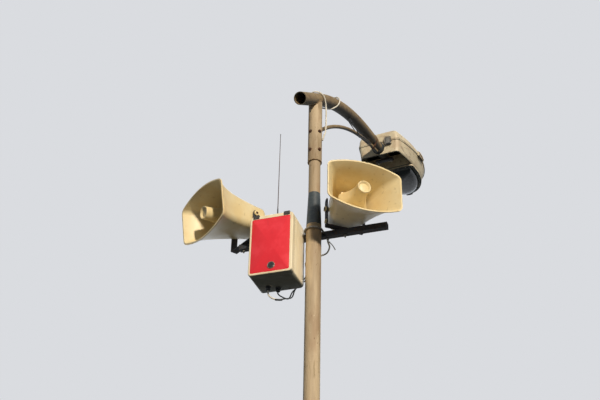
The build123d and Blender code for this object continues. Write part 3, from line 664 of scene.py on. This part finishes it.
class ReceiverBox(bpy.types.Operator):
    """Round-cornered box, its door with a bare film panel and lock, and two cable glands"""
    bl_idname = "horn_pole.receiver_box"
    bl_label = "Receiver box"

    def execute(self, context):
        x, _, z = centre_mm("receiver_box")
        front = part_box("box_cover")[0][1] / MM
        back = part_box("receiver_box")[1][1] / MM
        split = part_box("box_cover")[1][1] / MM + 1
        r = 17.0
        outline = BOX_WIDTH, BOX_HEIGHT, x, z
        label = BOX_WIDTH - 25, BOX_HEIGHT - 31, x - 1.5, z - 3.5
        body = plate((outline, [
            (5, r - 2, back), (1.5, r, back - 0.8), (0, r, back - 2.6), (0, r, split + 0.6), (1, r, split),
            (6, r - 3, split), (7, r - 3.5, split + 0.6), (7, r - 3.5, back - 4.2), (9, r - 4, back - 3.5)]))
        piece("box_shell", [body], "pole", "cream_powder_coat", 50, ["receiver_box"])
        door = plate((outline, [
            (9, r - 4, front + 3.5), (7, r - 3.5, front + 4.2), (7, r - 3.5, split - 1.6), (6, r - 3, split - 1),
            (0, r, split - 1), (0, r, front + 5), (1.4, r, front + 2.2), (4.4, r - 1, front + 0.6),
            (9, r - 3, front)]), (label, [(-1, 8.5, front), (-0.8, 8.4, front + 1)]))
        piece("box_door_shell", [door], "box_door", "cream_powder_coat", 50, ["box_cover"])
        film = plate((label, [(0, 8, front + 0.95), (0, 8, front + 0.3), (0.8, 7.6, front + 0.1)]))
        piece("bare_film", [film], "box_door", "red_vinyl_film", 50, ["cover_label"])
        lock = np.array((-163.9, front + 0.4, 3944.0))
        bezel = lathe([(14.6, -0.4), (14.6, 2.2), (15.6, 3.6), (17.2, 3.9), (18.4, 3.2), (19, 1.6), (19, -0.4)], 64)
        piece("lock_bezel", [along(bezel, lock, (0, -1, 0))], "box_door", "dull_zinc_plate",
              stands_for=["cover_lock"])
        cap = lathe([(0, 3.2), (9, 3.2), (9.6, 3.9), (12, 4.1), (13.6, 3.4), (14.5, 1.6), (14.5, 0)], 64)
        slot = bar(lock + (0, -3.3, 0), (4.6 * 0.35, 0, 4.6 * 0.94), 1.3, 0.3, (0, -1, 0), 0.5, 9)
        piece("lock_face", [along(cap, lock, (0, -1, 0)), slot], "box_door", "black_lacquer")
        glands = []
        nose = lathe([(9, 5), (9, 9), (10.6, 9.4), (10.9, 11), (10.9, 18), (10, 20.5), (7, GLAND_REACH),
                      (4.2, GLAND_REACH)], 60, 10, 0.03)
        for gx, gy in GLANDS:
            glands += [along(shape, (gx, gy, z - BOX_HEIGHT / 2), (0, 0, -1)) for shape in (hex_head(24, 6), nose)]
        piece("two_glands", glands, "pole", "moulded_nylon", stands_for=["cable_glands"])
        return {"FINISHED"}


def horn_loop(t, half_w, half_h, half_side, power):
    """Radius of a bowed rectangle at angles: a superellipse whose height falls from the middle to the sides as a
    parabola, found by stepping the radius until the outline's sum of powers is one."""
    c, s = np.cos(t), np.sin(t)
    r = np.full_like(t, min(half_w, half_h))
    for _ in range(40):
        tall = half_side + (half_h - half_side) * (1 - np.clip(r * c / half_w, -1, 1) ** 2)
        r = 0.5 * r + 0.5 * ((np.abs(c) / half_w) ** power + (np.abs(s) / tall) ** power) ** (-1 / power)
    return r


class HornReflectors(bpy.types.Operator):
    """Each horn's inner reflector: a dished plug that flares into a bowed rectangle on four posts"""
    bl_idname = "horn_pole.horn_reflectors"
    bl_label = "Horn reflectors"

    def execute(self, context):
        t = turns(96)
        wide = horn_loop(t, 74, 53, 43, 5.0)
        dish = ((0.01, -245.5), (20.5, -245.5), (21.5, -245), (29.6, -253.4), (30.4, -254), (32.6, -254),
                (33.6, -253.4), (34, -252), (34, -226))
        neck = np.linspace(0.0, 1.0, 22)
        flare = [((1 - u ** 1.7) * 34 + u ** 1.7 * wide, -224 + 126 * u) for u in neck]
        inside = ((wide, -94), (wide - 4, -94), (0.55 * wide + 12, -118), (26, -150), (22, -150), (22, -1), (0.01, -1))
        body = skin([xyz(r * np.cos(t), y, r * np.sin(t)) for r, y in (*dish, *flare, *inside)])
        lug = lathe([(0, 0), (5, 0), (5, 92), (9, 92), (9.4, 93), (9.4, 98), (8.8, 98.6), (0, 98.6)])
        posts = [along(lug, (x, -1, z), (0, -1, 0)) for x in (-LUG_X, LUG_X) for z in (-LUG_Z, LUG_Z)]
        for side, axes in HORNS.items():
            piece(side + "_horn_plug_and_flare", [body] + posts, side + "_horn", "sun_aged_abs", 45,
                  [side + "_horn_reflector"], axes)
        return {"FINISHED"}


def lamp_loop(half, rear, longer, height, start=0.0, corner=26.0):
    """Plan outline of the luminaire, by its half width where widest and at the rear and by how much longer it is than
    the whole: a square rear with round corners, sides that bow as a parabola to the widest place, and a half-ellipse
    nose. Points run from the middle of the rear along the left side and back."""
    def bow(x):
        return half - (half - rear) * ((WIDEST - x) / WIDEST) ** 2
    edge = bow(start + corner)
    a = np.linspace(0, pi / 2, 9)
    b = np.linspace(0, pi / 2, 30)[1:]
    run = np.linspace(start + corner, WIDEST, 18)[1:]
    x = np.concatenate([np.full(6, start), start + corner - corner * np.cos(a), run,
                        WIDEST + (LAMP_LENGTH + longer - WIDEST) * np.sin(b)])
    y = np.concatenate([np.linspace(0, edge - corner, 6, endpoint=False), edge - corner + corner * np.sin(a),
                        bow(run), half * np.cos(b)])
    return xyz(np.concatenate([x, x[-2:0:-1]]), np.concatenate([y, -y[-2:0:-1]]), height)


def lamp_shell(loops, closed=False, caps=None):
    """Skin through plan outlines; two cap points close the first and the last of them."""
    grid = [lamp_loop(*loop) for loop in loops]
    if caps is not None:
        first, last = np.array(caps, float)
        grid = [first + 0 * grid[0], 0.5 * (grid[0] + first)] + grid + [0.5 * (grid[-1] + last), last + 0 * grid[0]]
    return skin(grid, wrap_rows=closed)


class Luminaire(bpy.types.Operator):
    """Tray housing with an open gear space, domed cover, seal, bezel, bowl, latches and spigot collar"""
    bl_idname = "horn_pole.luminaire"
    bl_label = "Luminaire"

    def execute(self, context):
        tray = lamp_shell([
            (174, 128, 0, -1), (177, 131, 4, -0.4, -4, 29), (178, 132, 4, -2, -4, 30), (178, 132, 4, -6.4, -4, 30),
            (177, 131, 3, -7.4, -3, 29), (174, 128, -1, -8, 0), (168, 127, -18, -31), (162, 126, -36, -54),
            (155, 125, -56, -78), (151.5, 124.5, -66, -89, 0), (149, 122, -70, -92, 2), (145, 119, -75, -91.6, 5),
            (146, 120, -76, -86, 5), (170, 124, -5, -1, 4)], True)
        wall = bar((202, 0, -46), (0, 150, 0), 2, 44, UP, 0.3)
        piece("lamp_tray", [tray, wall], "pole", "dirty_cream_casting", 32, ["lamp_housing"], LAMP)
        cover = lamp_shell([
            (88, 72, -166, 71.5, 54, 14), (138, 104, -76, 62, 14, 22), (158, 117, -34, 47, 6),
            (166, 122, -16, 30, 4.5), (170, 124, -5, 1, 4), (177.4, 131, 4, 1, -4, 29), (178, 132, 4, 2.4, -4, 30),
            (178, 132, 4, 8, -4, 30), (177, 131, 3, 9.4, -3, 29), (174, 128, -1, 10, 0), (171.5, 126.5, -6, 24),
            (168, 124.5, -14, 38), (162, 121, -26, 49, 1), (154, 116, -44, 58, 5, 25), (144, 110, -66, 65, 10, 24),
            (132, 103, -92, 70, 18, 22), (116, 93, -122, 73, 30, 20), (92, 76, -160, 75.5, 50, 16)],
            caps=((260, 0, 74), (260, 0, 78)))
        piece("lamp_lid", [cover], "pole", "dirty_cream_casting", 32, ["lamp_cover"], LAMP)
        seal = lamp_shell([(175, 129, 1, -1.6, -1), (175.4, 129.4, 1.4, 0.6, -1.4), (175, 129, 1, 1.8, -1),
                           (169, 124, -6, 1.6, 5), (169, 124, -6, -1.4, 5)], True)
        collar = along(lathe([(30.4, -3), (37, -3), (38.4, 2), (38.4, 20), (36, 25), (33, 27), (30.4, 27)], 40),
                       (0, 0, -46), (-1, 0, 0))
        piece("lamp_seal_and_collar", [seal, collar], "pole", "weathered_rubber", axes=LAMP)
        bezel = lamp_shell([
            (150, 124, -68, -92.4, 200, 20), (154, 128, -62, -93, 199, 22), (155, 128.6, -61, -98, 198.6, 22),
            (154, 128, -62, -103, 199, 22), (151, 125, -65, -104.6, 201, 20), (134, 109, -84, -104.6, 219, 16),
            (132, 107, -86, -103, 221, 15), (132, 107, -86, -92.4, 221, 15)], True)
        nose = LAMP_LENGTH - 58
        tab = swept([(nose, -20, -98.4), (nose + 4, 0, -98.4), (nose, 20, -98.4)], 9, 5.6, UP, square=0.4)
        piece("lamp_bezel_ring", [bezel, tab], "pole", "dirty_cream_casting", axes=LAMP)
        bowl = lamp_shell([
            (131.6, 106.6, -86.4, -95, 221.4, 15), (130, 105, -88, -106, 223, 15), (126, 102, -93, -115, 227, 15),
            (118, 96, -102, -122, 235, 15), (104, 86, -118, -127.5, 249, 14), (82, 68, -146, -131, 272, 12)],
            caps=((WIDEST + 70, 0, -95), (WIDEST + 70, 0, -133)))
        piece("lamp_bowl_lens", [bowl], "pole", "dusty_bowl_glass", 60, ["lamp_glass"], LAMP)
        block = np.array([(254, 182.6, 1), (300, 182.9, 1), (346, 182.6, 1)])
        blocks = [swept(block * (1, way, 1), 4.4, 15, UP, square=0.35) for way in (-1, 1)]
        piece("lamp_side_latches", blocks, "pole", "dirty_cream_casting", axes=LAMP)
        clamp = bar((100, 0, -81), (0, 56, 0), 15, 7, UP, 0.35)
        rear = bar((-8.6, -66, -10), (0, 0, 26), 22, 4.4, (1, 0, 0), 0.35)
        piece("spigot_clamp_and_rear_latch", [clamp, rear], "pole", "black_painted_steel", axes=LAMP)
        return {"FINISHED"}


class WeldBeads(bpy.types.Operator):
    """Rippled beads under the sleeve, round the arm's saddle, at the brace's root and round the pole's foot"""
    bl_idname = "horn_pole.weld_beads"
    bl_label = "Weld beads"

    def execute(self, context):
        r = sizes().bead
        t = turns(240)
        ring = xyz(np.cos(t), np.sin(t), 0)
        sleeve_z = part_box("arm_sleeve")[0][2] / MM
        under = swept(ring * 33.6 + (0, 0, sleeve_z - 0.4), 3.4, r, UP, True, ripple=0.14, waves=64)
        foot = swept(ring * 39.2 + (0, 0, 17.2), 1.3 * r, 1.3 * r, UP, True, ripple=0.12, waves=70)
        top = swept(saddle(t, 36.9, 16) - 0.6 * UP, r, r, UP, True, ripple=0.14, waves=52)
        start, ahead, lift = brace_at(0.0)
        path = start + 10.9 * (np.cos(t)[:, None] * ARM_SIDE + np.sin(t)[:, None] * lift)
        # Each point slides along the brace until it meets the pole's wall, a circle of 37.2 in plan
        flat, run = path[:, :2], ahead[:2]
        b = flat @ run
        slide = (-b + np.sqrt(b ** 2 - (run @ run) * (np.sum(flat ** 2, axis=1) - 37.2 ** 2))) / (run @ run)
        root = swept(path + slide[:, None] * ahead, 0.9 * r, 0.9 * r, ahead, True, ripple=0.15, waves=26)
        piece("weld_beads", [under, foot, top, root], "pole", "weld_bead_paint", 60)
        return {"FINISHED"}


class ThreadedTails(bpy.types.Operator):
    """Threads on the tails of the U-bolt, the box bolts and the two bracket bolts"""
    bl_idname = "horn_pole.threaded_tails"
    bl_label = "Threaded tails"

    def execute(self, context):
        pitch = sizes().thread_pitch
        fine = pitch * 0.83
        bolt_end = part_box("box_bolts")[1][1] / MM
        height = BAR_TOP - 15
        tails = [along(thread(5.0, 21.2, pitch), (x, 78.4, height), (0, 1, 0)) for x in (-43.45, 43.45)]
        tails += [along(thread(4.0, 5.0, fine), (x, bolt_end - 5.2, height), (0, 1, 0)) for x in (-245.55, -95.55)]
        tails += [along(thread(4.0, 6.6, fine), (x, BAR_Y, 4165.3), (0, 0, -1)) for x in HORN_X]
        piece("threaded_tails", tails, "pole", "dull_zinc_plate", 50)
        return {"FINISHED"}


class CableTidies(bpy.types.Operator):
    """Ties that hold the cables, rubber grommets under the bar and the taped joint below the box"""
    bl_idname = "horn_pole.cable_tidies"
    bl_label = "Cable tidies"

    def execute(self, context):
        half_w, half_t = sizes().tie_width / 2, sizes().tie_thickness / 2
        t = turns(96)

        def tie(middle, u, v, ru, rv, bulge=0.0, at=0.0, spread=1.0):
            """A flat loop: an ellipse that swells by bulge near one angle, with its locking head there."""
            swell = bulge * np.exp(-(((t - at + pi) % TURN - pi) / spread) ** 4)
            path = middle + ((ru + swell) * np.cos(t))[:, None] * u + ((rv + swell) * np.sin(t))[:, None] * v
            normal = np.cross(u, v)
            head = middle + (ru + bulge + 1.6) * cos(at) * u + (rv + bulge + 1.6) * sin(at) * v
            return [swept(path, half_w, half_t, np.cross(normal, np.gradient(path, axis=0)), True, square=0.4),
                    bar(head, 2.6 * normal, 3.2, 2.6, head - middle, 0.45, 5)]

        ex, ey, _ = np.eye(3)
        loops = tie(np.array((-48.3, 52.4, 4068.0)), ex, ey, 9.6, 7.6)
        loops += tie(np.array((57.4, 58.6, 4147.0)), ex, ey, 5.4, 5.2)
        tail = np.linspace(0, 1, 14)[:, None]
        tail = (60, 54.5, 4149) + tail * (35, -2, -55) + (3, 1, 2) * np.sin(pi * tail)
        loops.append(swept(tail, half_w, half_t, (0.2, -1.0, 0.1), square=0.4))
        piece("nylon_ties", loops, "pole", "white_nylon_tie")

        dark = []
        for share in (0.72, 0.83):
            middle, _, lift = brace_at(share)
            dark += tie(middle, lift, ARM_SIDE, 11.4, 11.4, 6.6, radians(54), 0.62)
        grommet = lathe([(3.4, 0), (6.2, 0), (6.4, 0.6), (6.0, 1.0), (3.4, 1.1)])
        dark += [along(grommet, (x, y, BAR_TOP - 31.15), UP)
                 for x, y in ((-46.8, BAR_Y), (-47.8, BAR_Y - 9), (51.05, BAR_Y + 4))]
        joint = lathe([(3.4, -19), (4.5, -17), (4.9, -12), (4.7, -4), (5.0, 2), (4.4, 9), (4.1, 15), (3.3, 17)],
                      28, 5, 0.02)
        dark.append(along(joint, (-168.6, -7.0, 3827.9), (0.97, 0.42, 0.03)))
        piece("dark_ties_and_grommets", dark, "pole", "moulded_nylon")

        # The strap is a teardrop: wide round the arm above, narrow round the brace below, and straight between
        wide, narrow, gap = 35.5, 11.2, 48.9
        slope = radians(7)
        out_axis = cos(slope) * ARM_OUT + sin(slope) * UP
        place, _, _ = brace_at(0.93)
        rise = np.cross(ARM_SIDE, out_axis)
        lean = (t - pi / 2 + pi) % TURN - pi
        low = np.abs(lean) > pi - acos((wide - narrow) / gap)
        radius, middle = np.where(low, narrow, wide), np.where(low, 0.0, gap)
        loop = place + (radius * np.cos(t))[:, None] * ARM_SIDE + (radius * np.sin(t) + middle)[:, None] * rise
        strap = swept(loop, 7.0, 0.9, np.cross(out_axis, np.gradient(loop, axis=0)), True, square=0.35)
        screw_at = place + 14.5 * ARM_SIDE + 6 * rise
        ear = bar(screw_at, 7 * out_axis, 5.5, 3.0, ARM_SIDE, 0.4, 5)
        bolt = along(hex_head(8, 5), screw_at + 2 * ARM_SIDE, ARM_SIDE + 0.2 * UP)
        piece("brace_strap", [strap, ear, bolt], "pole", "rusted_set_screw")
        return {"FINISHED"}


class BoxTrim(bpy.types.Operator):
    """Door seal and the whip's ferrule"""
    bl_idname = "horn_pole.box_trim"
    bl_label = "Box trim"

    def execute(self, context):
        middle = centre_mm("box_cover")
        x, z = rounded_loop(BOX_WIDTH - 3, BOX_HEIGHT - 3, 15.5)
        loop = xyz(middle[0] + x, -110.2, middle[2] + z)
        seal = swept(loop, 0.36, 1.5, np.cross((0.0, 1.0, 0.0), np.gradient(loop, axis=0)), True, square=0.6)
        piece("door_seal", [seal], "box_door", "weathered_rubber")
        x, y, _ = centre_mm("antenna_whip")
        foot, top = (corner[2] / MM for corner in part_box("antenna_whip"))
        ferrule = lathe([(2.4, 0), (7.2, 0), (7.4, 2.5), (5.2, 4), (4.9, 15), (4.1, 18), (3.3, 24), (3.2, 60),
                         (2.6, 64), (2.3, 64)])
        tip = lathe([(0, 3), (1.6, 2.6), (2.3, 1), (2.3, -1), (1.6, -6), (1.4, -7)], 20)
        piece("whip_ferrule", [put(ferrule, (x, y, foot)), put(tip, (x, y, top - 2))], "pole",
              "black_lacquer")
        return {"FINISHED"}


class HornTrim(bpy.types.Operator):
    """Grips on the knobs, bolt ends, screws on the reflector's lugs and on the rear cover"""
    bl_idname = "horn_pole.horn_trim"
    bl_label = "Horn trim"

    def execute(self, context):
        screw = pan_head(sizes().screw_head, 2.6)
        grip = lathe([(12.8, 0), (13.7, 0.5), (14.0, 2), (14.0, 5.5), (13.6, 7), (12.8, 7.6)], 96, 16, 0.028)
        end = lathe([(7.6, 0), (7.4, 0.6), (6.0, 0.7), (5.4, 0.3), (4.2, 0.3), (4.1, 1.6), (3.4, 2.1), (0, 2.2)])
        disc = lathe([(12.4, 0), (12.4, 3.6), (11.6, 4.8), (7.4, 5.2), (6.8, 4.2), (0, 4.2)], 40)
        grips, bolts, discs = [], [], []
        for way in (-1, 1):
            grips.append(along(grip, (way * 101.6, 0, 0), (way, 0, 0)))
            discs.append(along(disc, (way * 101.1, 0, 26), (way, 0, 0)))
            bolts.append(along(end, (way * 109.9, 0, 0), (way, 0, 0)))
            for high in (-1, 1):
                bolts.append(along(screw, (way * LUG_X, -99.6, high * LUG_Z), (0, -1, 0)))
                bolts.append(along(screw, (way * 40, 83.0, high * 31), (0, 1, 0)))
        for side, axes in HORNS.items():
            piece(side + "_bracket_discs", discs, side + "_bracket", "sun_aged_abs",
                  axes=BRACKETS[side])
            piece(side + "_knob_grips", grips, side + "_horn", "sun_aged_abs", axes=axes)
            piece(side + "_horn_screws", bolts, side + "_horn", "rusted_set_screw", axes=axes)
        return {"FINISHED"}


def flank(x, height):
    """Half width of the housing at a depth below the split line: the plan outline's, which narrows to the floor."""
    share = -height / 92
    half, rear, nose = 174 - 24 * share, 128 - 4 * share, LAMP_LENGTH - 70 * share
    bow = half - (half - rear) * ((WIDEST - x) / WIDEST) ** 2
    tip = half * np.sqrt(np.maximum(1 - ((x - WIDEST) / (nose - WIDEST)) ** 2, 0))
    return np.where(x < WIDEST, bow, tip)


class LampTrim(bpy.types.Operator):
    """Flank panels, bezel screws, latch levers and bails, and the bolts of the spigot clamp"""
    bl_idname = "horn_pole.lamp_trim"
    bl_label = "Luminaire trim"

    def execute(self, context):
        t = turns(160)
        c, s = (np.sign(f) * np.abs(f) ** 0.6 for f in (np.cos(t), np.sin(t)))
        x, height = 285 + 225 * c, -50 + 25 * s
        lever = np.array([(262, 188.6, 9), (270, 190.0, 8), (300, 190.4, 4), (328, 190.0, 0), (340, 187.5, -2)])
        fan = np.linspace(0, 1, 24)
        lever = xyz(*(np.interp(fan, np.linspace(0, 1, 5), lever[:, k]) for k in range(3)))
        ridges = [swept(xyz(x, way * (flank(x, height) + 0.3), height), 2.2, 1.5, (0, way, 0), True)
                  for way in (-1, 1)]
        ridges += [swept(lever * (1, way, 1), 6.5, 1.8, (0, way, 0), square=0.45) for way in (-1, 1)]
        piece("flank_ridges", ridges, "pole", "dirty_cream_casting", 50, axes=LAMP)

        screw = pan_head(4.2, 2.4)
        spots = [(WIDEST + 272 * cos(a), 143 * sin(a)) for a in np.radians((-85, -52, -18, 18, 52, 85))]
        spots += [(210, y) for y in (-100, -50, 50, 100)]
        metal = [along(screw, (x, y, BEZEL_Z), -UP) for x, y in spots]
        metal += [along(hex_head(13, 5), (107, y, -89.2), -UP) for y in (-42, 42)]
        r = sizes().wire
        bail = np.array([(266, 187.6, 12), (260, 189.5, 5), (260, 189.5, -12), (267, 187.8, -17), (333, 187.8, -17),
                         (340, 189.5, -12), (340, 189.5, 2)])
        metal += [wire(bail * (1, way, 1), r) for way in (-1, 1)]
        metal.append(wire([(-14.5, -83, -32), (-16, -83, -4), (-16, -81, 16), (-16, -66, 19), (-16, -51, 16),
                           (-16, -49, -4), (-14.5, -49, -32)], r))
        rise = np.linspace(0, 40, 16)
        metal.append(swept(xyz(-15.6 + 2.5 * np.sin(rise / 13), -66, rise - 30), 12, 1.4, (-1, 0, 0), square=0.5))
        pivot = lathe([(4.2, 0), (4.0, 1.4), (2.6, 2.2), (0, 2.4)])
        metal += [along(pivot, (-13.4, y, -32), (-1, 0, 0)) for y in (-83, -49)]
        piece("lamp_hardware", metal, "pole", "dull_zinc_plate", axes=LAMP)
        return {"FINISHED"}


def sun(name, towards, colour, strength, spread):
    """A lamp that shines from a direction; a wide spread in degrees makes its shadows soft."""
    lamp = bpy.data.lights.new(name, "SUN")
    lamp.energy = strength
    lamp.color = linear(colour)[:3]
    lamp.angle = radians(spread)
    placed(name, lamp).rotation_euler = Vector(towards).to_track_quat("Z", "Y").to_euler()


class StageAndCamera(bpy.types.Operator):
    """Pale floor, soft studio light and the camera at the photograph's angle"""
    bl_idname = "horn_pole.stage_and_camera"
    bl_label = "Stage and camera"

    def execute(self, context):
        scene = context.scene
        scene.view_settings.view_transform = "Standard"
        reach = 14.0
        floor = bpy.data.meshes.new("floor")
        floor.from_pydata([(-reach, -reach, 0), (reach, -reach, 0), (reach, reach, 0), (-reach, reach, 0)], [],
                          [(0, 1, 2, 3)])
        floor.materials.append(stage_paper())
        placed("floor", floor)
        sun("key", (0.55, -0.78, 0.30), "#FFF3E2", 3.5, 4)
        sun("fill", (-0.35, 0.9, 0.3), "#DCE6F2", 0.8, 60)

        # The world is pale to the eye, in mirrors and through glass, and dim as a light
        world = bpy.data.worlds.new("studio")
        scene.world = world
        world.use_nodes = True
        tree = world.node_tree
        tree.nodes.clear()
        path = add(tree, "ShaderNodeLightPath").outputs
        seen = maths(tree, "MAXIMUM", path["Is Camera Ray"], path["Is Glossy Ray"])
        seen = maths(tree, "MAXIMUM", seen, path["Is Transmission Ray"])
        shade = add(tree, "ShaderNodeBackground", {"Color": linear("#B4C8DA"), "Strength": 0.17})
        paper = add(tree, "ShaderNodeBackground", {"Color": linear("#DADCE0"), "Strength": 1.0})
        mixed = add(tree, "ShaderNodeMixShader", {0: seen, 1: shade.outputs[0], 2: paper.outputs[0]})
        add(tree, "ShaderNodeOutputWorld", {"Surface": mixed.outputs[0]})

        camera = bpy.data.cameras.new("photo_camera")
        camera.lens = 60.0
        camera.sensor_width = 36.0
        camera.clip_end = 60.0
        view = placed("photo_camera", camera)
        right = Vector((0.94849, 0.31620, 0.01940))
        up = Vector((0.15828, -0.52607, 0.83558))
        turn = Matrix((right, up, right.cross(up))).transposed().to_4x4()
        view.matrix_world = Matrix.Translation((1.316, -4.004, 1.602)) @ turn
        scene.camera = view
        return {"FINISHED"}


class HornPolePanel(bpy.types.Panel):
    """Lists the steps that dress the pole, with their sizes and colours"""
    bl_idname = "VIEW3D_PT_horn_pole"
    bl_label = "Warning horn pole"
    bl_space_type = "VIEW_3D"
    bl_region_type = "UI"
    bl_category = "Horn Pole"

    def draw(self, context):
        for step in STEPS:
            self.layout.operator(step.bl_idname)
        for group in (sizes(), colours()):
            box = self.layout.box()
            for name in group.bl_rna.properties.keys():
                if name not in ("rna_type", "name"):
                    box.prop(group, name)


STEPS = (FrameFinishes, PoleTop, HeldCables, ReceiverBox, HornReflectors, Luminaire, WeldBeads, ThreadedTails,
         CableTidies, BoxTrim, HornTrim, LampTrim, StageAndCamera)
CLASSES = (HornPoleSizes, HornPoleColours) + STEPS + (HornPolePanel,)


def register():
    for item in CLASSES:
        bpy.utils.register_class(item)
    bpy.types.Scene.horn_pole_sizes = PointerProperty(type=HornPoleSizes)
    bpy.types.Scene.horn_pole_colours = PointerProperty(type=HornPoleColours)


def unregister():
    del bpy.types.Scene.horn_pole_colours
    del bpy.types.Scene.horn_pole_sizes
    for item in reversed(CLASSES):
        bpy.utils.unregister_class(item)


def main():
    register()
    for step in STEPS:
        group, name = step.bl_idname.split(".")
        getattr(getattr(bpy.ops, group), name)()


if __name__ == "__main__":
    main()
